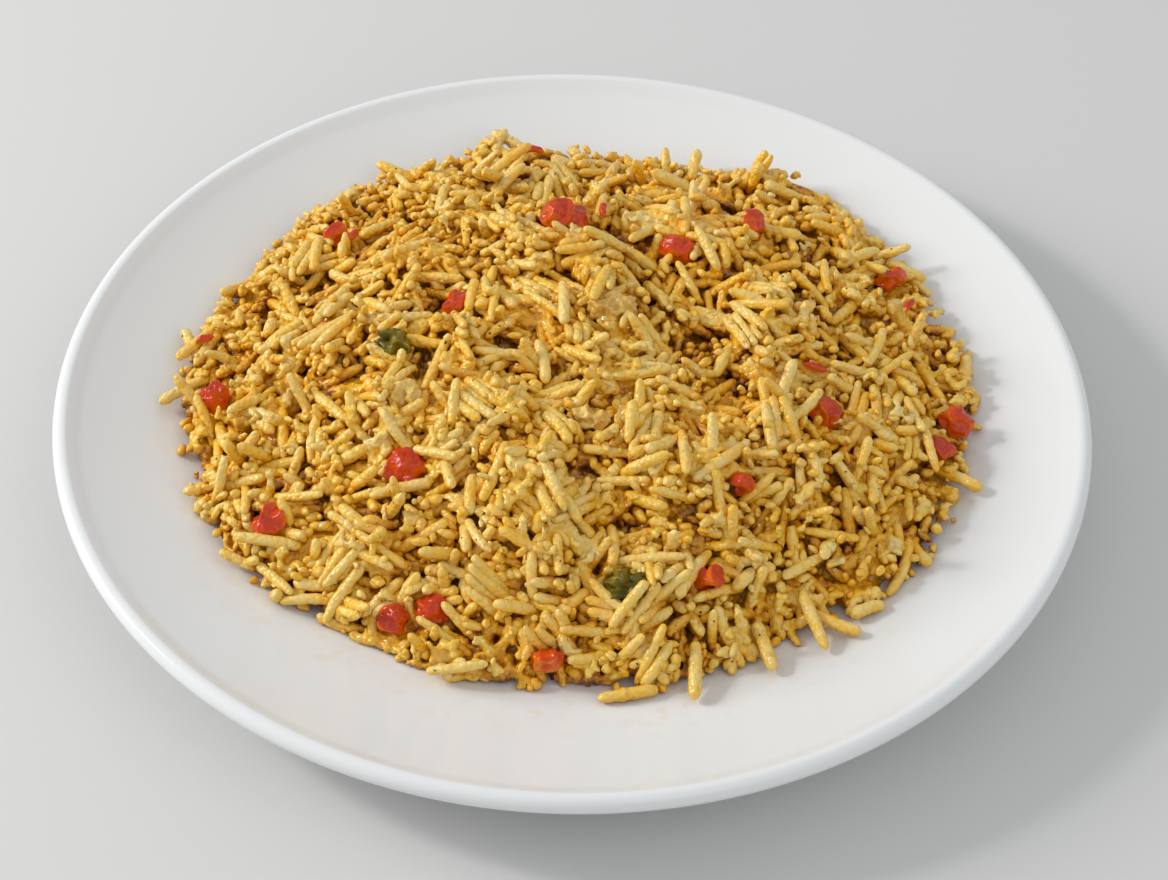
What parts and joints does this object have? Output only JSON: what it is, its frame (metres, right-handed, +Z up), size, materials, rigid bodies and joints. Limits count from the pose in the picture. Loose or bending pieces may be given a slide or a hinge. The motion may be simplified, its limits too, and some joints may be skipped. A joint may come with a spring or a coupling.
{
  "type": "coconut rice",
  "caption": "Heap of loose long-grain coconut rice with diced tomato, chilli and onion, served on a round rimless coupe plate.",
  "frame": {"origin": "middle of the plate's foot ring, on the table", "axes": "+Z up, +Y towards the back of the serving, +X to its right"},
  "size_m": [0.25, 0.25, 0.043],
  "materials": {
    "white_glaze": "smooth white porcelain glaze",
    "rice": "moist cooked grains, yellow to orange with sauce",
    "tomato": "wet red tomato flesh and skin",
    "chilli": "wet dark green chilli",
    "onion": "soft, glassy cooked onion"
  },
  "bodies": {
    "root": {"plate": "white_glaze", "coconut_rice": "rice", "tomato_1": "tomato", "tomato_2": "tomato", "tomato_3": "tomato", "tomato_4": "tomato", "tomato_5": "tomato", "tomato_6": "tomato", "tomato_7": "tomato", "tomato_8": "tomato", "tomato_9": "tomato", "tomato_10": "tomato", "tomato_11": "tomato", "tomato_12": "tomato", "tomato_13": "tomato", "tomato_14": "tomato", "tomato_15": "tomato", "tomato_16": "tomato", "tomato_17": "tomato", "chilli_1": "chilli", "chilli_2": "chilli", "onion_1": "onion", "onion_2": "onion", "onion_3": "onion"}
  },
  "joints": []
}
